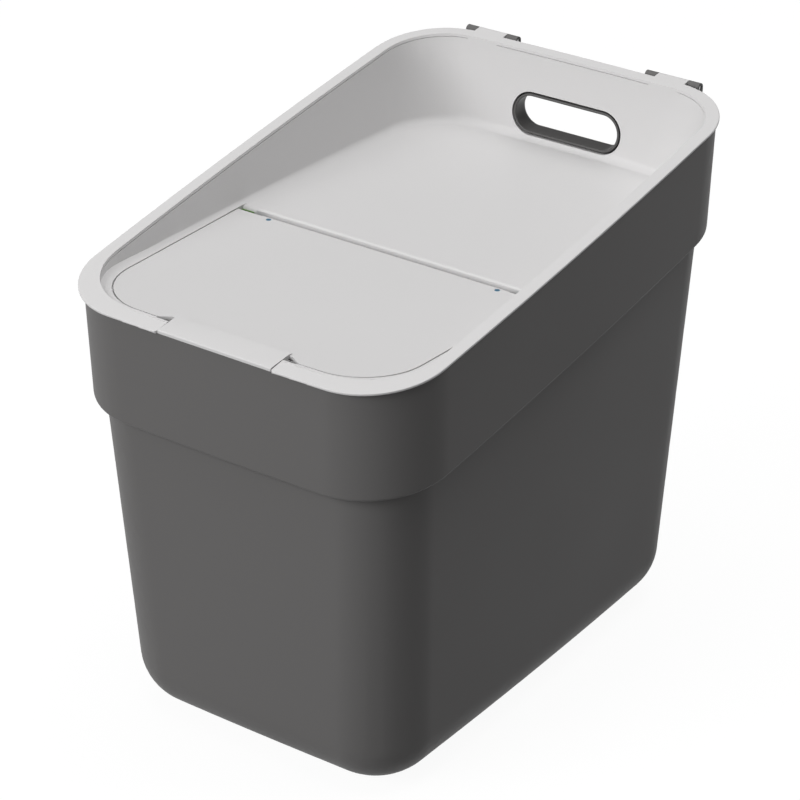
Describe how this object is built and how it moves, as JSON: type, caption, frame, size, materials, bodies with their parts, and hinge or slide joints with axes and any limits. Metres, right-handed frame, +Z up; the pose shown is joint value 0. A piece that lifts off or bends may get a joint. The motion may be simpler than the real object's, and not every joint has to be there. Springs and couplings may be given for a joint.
{
  "type": "recycling bin",
  "caption": "Tall tapered recycling bin with a wide sloping collar, a sunk hinged lid, a front flap with a finger tab, and an oval hand slot at the back.",
  "frame": {"origin": "on the floor, under the middle of the lid rim's plan outline", "axes": "+Z up, -Y the front with the finger tab, +Y the hinge side, +X the right side seen from the front"},
  "size_m": [0.2484, 0.3746, 0.334],
  "materials": {
    "dark_grey_plastic": "fine matt moulded texture",
    "charcoal_plastic": "satin moulded",
    "light_grey_plastic": "fine matt moulded texture",
    "green_plastic": "smooth moulded",
    "teal_plastic": "smooth moulded",
    "pin_steel": "drawn"
  },
  "bodies": {
    "bin": {"bin_body": "dark_grey_plastic", "grip_surround": "charcoal_plastic", "lid_hinge_pin_left": "pin_steel", "lid_hinge_pin_right": "pin_steel"},
    "lid": {"lid_frame": "light_grey_plastic", "flap_hinge_block_left": "green_plastic", "flap_hinge_block_right": "green_plastic"},
    "flap": {"flap": "light_grey_plastic", "flap_hinge_pin_left": "teal_plastic", "flap_hinge_pin_right": "teal_plastic"}
  },
  "joints": [
    {"name": "lid_hinge", "type": "hinge", "parent": "bin", "child": "lid", "pos_m": [0, 0.18805, 0.3309], "axis": [-1, 0, 0], "range_deg": [0, 105]},
    {"name": "flap_hinge", "type": "hinge", "parent": "lid", "child": "flap", "pos_m": [0, -0.02605, 0.27322], "axis": [-1, 0, 0], "range_deg": [0, 95]}
  ]
}
